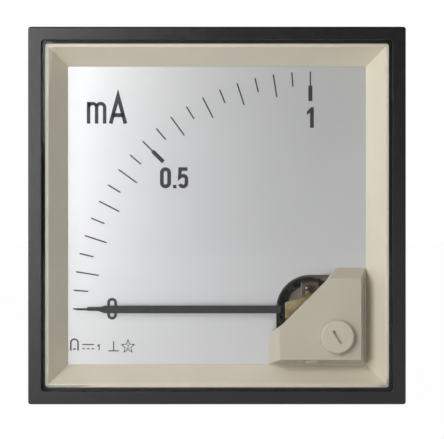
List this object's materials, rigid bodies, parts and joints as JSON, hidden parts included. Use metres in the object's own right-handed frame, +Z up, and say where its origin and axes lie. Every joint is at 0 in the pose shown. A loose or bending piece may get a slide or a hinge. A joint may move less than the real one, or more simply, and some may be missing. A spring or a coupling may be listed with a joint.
{
  "type": "analog panel meter",
  "caption": "Square black panel meter with a quadrant scale, cream surround, moving pointer and screwdriver zero adjuster.",
  "frame": {"origin": "centre of the panel plane, on the bezel's rear face", "axes": "+Y into the panel, so the dial faces -Y; +Z up; +X to the right as seen from the front"},
  "size_m": [0.096, 0.0655, 0.096],
  "materials": {
    "black_moulding": "fine moulded grain",
    "bezel_black": "fine moulded grain, satin",
    "clear_glass": "clear, polished",
    "cream_plastic": "satin cream",
    "cream_cover": "satin cream",
    "cream_button": "satin cream",
    "dial_white": "satin white lacquer",
    "brass_bright": "turned brass",
    "bridge_brass": "yellow passivated",
    "spring_bronze": "bright bronze strip",
    "steel_screws": "bright steel",
    "pointer_black": "black lacquer",
    "weight_metal": "dark plated brass",
    "former_aluminium": "plain aluminium",
    "coil_copper": "enamelled copper wire",
    "magnet_alloy": "ground magnet alloy",
    "soft_iron": "dark soft iron",
    "frame_zinc": "die cast",
    "nickel_plate": "satin nickel",
    "jewel_ruby": "polished jewel",
    "bush_white": "moulded insulator",
    "insulation_red": "wire insulation",
    "insulation_blue": "wire insulation"
  },
  "bodies": {
    "meter_body": {"housing": "black_moulding", "bezel_frame": "bezel_black", "window_glass": "clear_glass", "inner_surround": "cream_plastic", "dial_plate": "dial_white", "dial_pillars": "brass_bright", "dial_screws": "steel_screws", "corner_cover": "cream_cover", "lever_ring": "steel_screws", "rear_hairspring": "spring_bronze", "core_magnet": "magnet_alloy", "core_supports": "black_moulding", "yoke_ring": "soft_iron", "yoke_screws": "steel_screws", "movement_frame": "frame_zinc", "frame_screws": "steel_screws", "front_bridge": "bridge_brass", "bridge_pillars": "brass_bright", "front_bridge_screws": "steel_screws", "rear_bridge": "bridge_brass", "rear_bridge_screws": "steel_screws", "jewel_screws": "brass_bright", "bearing_jewels": "jewel_ruby", "lock_nuts": "brass_bright", "spring_anchor": "brass_bright", "anchor_bush": "bush_white", "lead_to_bridge": "insulation_red", "lead_to_anchor": "insulation_blue", "solder_tags": "nickel_plate", "terminal_studs": "nickel_plate", "terminal_washers": "nickel_plate", "terminal_nuts": "nickel_plate", "wire_clamps": "nickel_plate"},
    "zero_adjuster": {"zero_button": "cream_button"},
    "zero_lever_arm": {"zero_lever": "brass_bright", "front_hairspring": "spring_bronze"},
    "moving_element": {"pointer": "pointer_black", "balance_cross": "brass_bright", "balance_weights": "weight_metal", "spring_collets": "brass_bright", "front_staff": "steel_screws", "rear_staff": "steel_screws", "coil_former": "former_aluminium", "coil_winding": "coil_copper"}
  },
  "joints": [
    {"name": "zero_adjuster_turn", "type": "hinge", "parent": "meter_body", "child": "zero_adjuster", "pos_m": [0.03085, 0, -0.03105], "axis": [0, 1, 0], "range_deg": [-50, 50]},
    {"name": "zero_lever_swing", "type": "hinge", "parent": "meter_body", "child": "zero_lever_arm", "pos_m": [0.0244, 0.0035, -0.0244], "axis": [0, 1, 0], "range_deg": [-8.6, 8.6]},
    {"name": "pointer_swing", "type": "hinge", "parent": "zero_lever_arm", "child": "moving_element", "pos_m": [0.0244, 0.0035, -0.0244], "axis": [0, 1, 0], "range_deg": [-4, 95], "stiffness_Nm_per_rad": 0.0003}
  ],
  "couplings": [
    {"joint": "zero_lever_swing", "follows": "zero_adjuster_turn", "ratio": -0.17}
  ]
}
